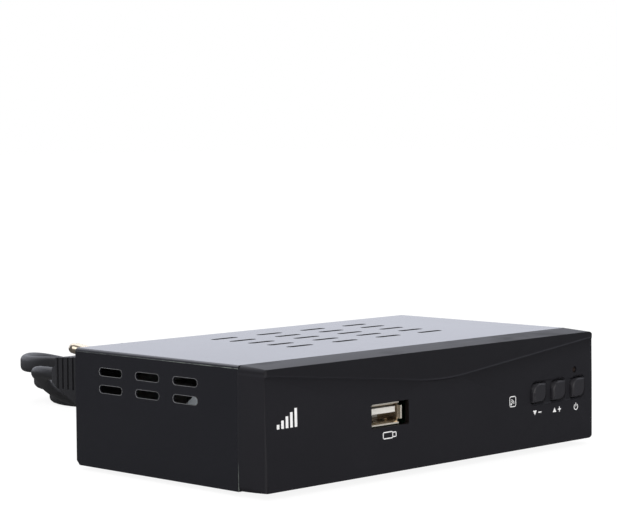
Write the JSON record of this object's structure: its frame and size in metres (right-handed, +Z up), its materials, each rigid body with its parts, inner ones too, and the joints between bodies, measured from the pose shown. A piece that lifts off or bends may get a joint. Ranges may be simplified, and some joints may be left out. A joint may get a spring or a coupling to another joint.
{
  "type": "digital television receiver",
  "caption": "Small flat television receiver in a slotted sheet metal case with a creased moulded front, sprung keys, a memory port, rear sockets and a tied mains cord with plug.",
  "frame": {"origin": "bottom centre of the receiver's box on the surface it stands on, measured without its cord", "axes": "+X to the viewer's right along the front, -Y towards the viewer, +Z up"},
  "size_m": [0.2265, 0.248, 0.0403],
  "materials": {
    "cover_paint": "satin black paint",
    "tray_steel": "plated sheet",
    "panel_plastic": "satin, moulded",
    "key_plastic": "satin, moulded",
    "black_plastic": "moulded",
    "white_plastic": "moulded",
    "clear_plastic": "clear, moulded",
    "dark_plastic": "dark, clear to infrared",
    "board": "printed circuit board",
    "ribbon": "flat ribbon",
    "nickel": "nickel plated",
    "tin": "tinned sheet",
    "gilt": "gilt contact",
    "screw_steel": "zinc plated",
    "stud_brass": "turned",
    "ferrite": "pressed and fired",
    "tape": "wound, under yellow tape",
    "sleeve": "shrunk sleeve",
    "heat_sink": "extruded",
    "fuse_glass": "glass tube",
    "foot_rubber": "moulded",
    "cord_plastic": "soft, extruded",
    "plug_plastic": "moulded over the cord"
  },
  "bodies": {
    "receiver": {"chassis": "tray_steel", "cover": "cover_paint", "front_panel": "panel_plastic", "switch_down": "black_plastic", "switch_up": "black_plastic", "switch_power": "black_plastic", "front_board": "board", "standby_light": "clear_plastic", "eye": "dark_plastic", "port_shell": "nickel", "port_tongue": "white_plastic", "port_contacts": "gilt", "main_board": "board", "power_board": "board", "board_link": "ribbon", "tuner": "tin", "aerial_socket": "nickel", "aerial_contact": "gilt", "loop_plug": "nickel", "loop_pin": "gilt", "aerial_discs": "white_plastic", "av_shell": "nickel", "av_tongue": "black_plastic", "tv_socket": "black_plastic", "tv_contacts": "gilt", "transformer_core": "ferrite", "transformer_coil": "tape", "main_capacitor": "sleeve", "output_capacitor_1": "sleeve", "output_capacitor_2": "sleeve", "fuse": "fuse_glass", "main_chip": "black_plastic", "heat_sink": "heat_sink", "pillars": "stud_brass", "board_screws": "screw_steel", "panel_screws": "screw_steel", "case_screws": "screw_steel", "foot_front_left": "foot_rubber", "foot_front_right": "foot_rubber", "foot_rear_left": "foot_rubber", "foot_rear_right": "foot_rubber", "bend_relief": "plug_plastic", "cord_lead": "cord_plastic", "cord_hank": "cord_plastic", "cord_tail": "cord_plastic", "cord_tie": "black_plastic", "plug_body": "plug_plastic", "plug_pin_1": "nickel", "plug_pin_2": "nickel", "plug_sleeve_1": "plug_plastic", "plug_sleeve_2": "plug_plastic"},
    "down_key": {"key_down": "key_plastic", "plunger_down": "white_plastic"},
    "up_key": {"key_up": "key_plastic", "plunger_up": "white_plastic"},
    "power_key": {"key_power": "key_plastic", "plunger_power": "white_plastic"}
  },
  "joints": [
    {"name": "down_key_press", "type": "slide", "parent": "receiver", "child": "down_key", "axis": [0, 1, 0], "range_m": [0, 0.0005], "stiffness_N_per_m": 3000},
    {"name": "up_key_press", "type": "slide", "parent": "receiver", "child": "up_key", "axis": [0, 1, 0], "range_m": [0, 0.0005], "stiffness_N_per_m": 3000},
    {"name": "power_key_press", "type": "slide", "parent": "receiver", "child": "power_key", "axis": [0, 1, 0], "range_m": [0, 0.0005], "stiffness_N_per_m": 3000}
  ]
}
